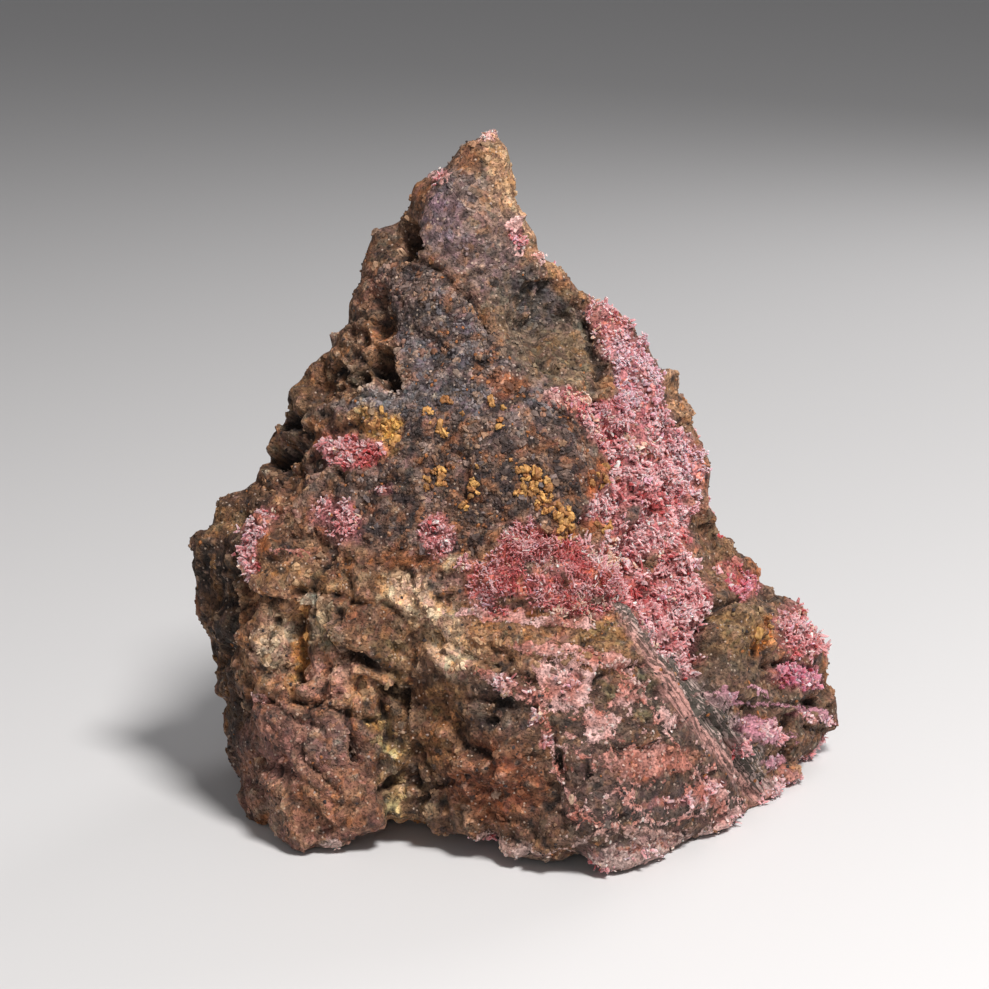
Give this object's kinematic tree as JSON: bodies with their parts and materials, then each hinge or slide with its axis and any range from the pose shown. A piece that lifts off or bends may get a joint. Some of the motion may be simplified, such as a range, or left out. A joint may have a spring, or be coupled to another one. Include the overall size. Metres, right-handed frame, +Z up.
{
  "type": "erythrite specimen",
  "caption": "Peaked hand specimen of brown, iron-stained rock with a druse of pink erythrite on its right flank and ochre limonite grains across its face.",
  "frame": {"origin": "middle of the bounding box's footprint, on the ground", "axes": "+Z up through the summit, -Y towards the side seen in the picture, +X to the viewer's right"},
  "size_m": [0.0656, 0.0498, 0.0665],
  "materials": {
    "rock": "rough iron-stained rock with fine pink crystals"
  },
  "bodies": {
    "root": {"rock": "rock"}
  },
  "joints": []
}
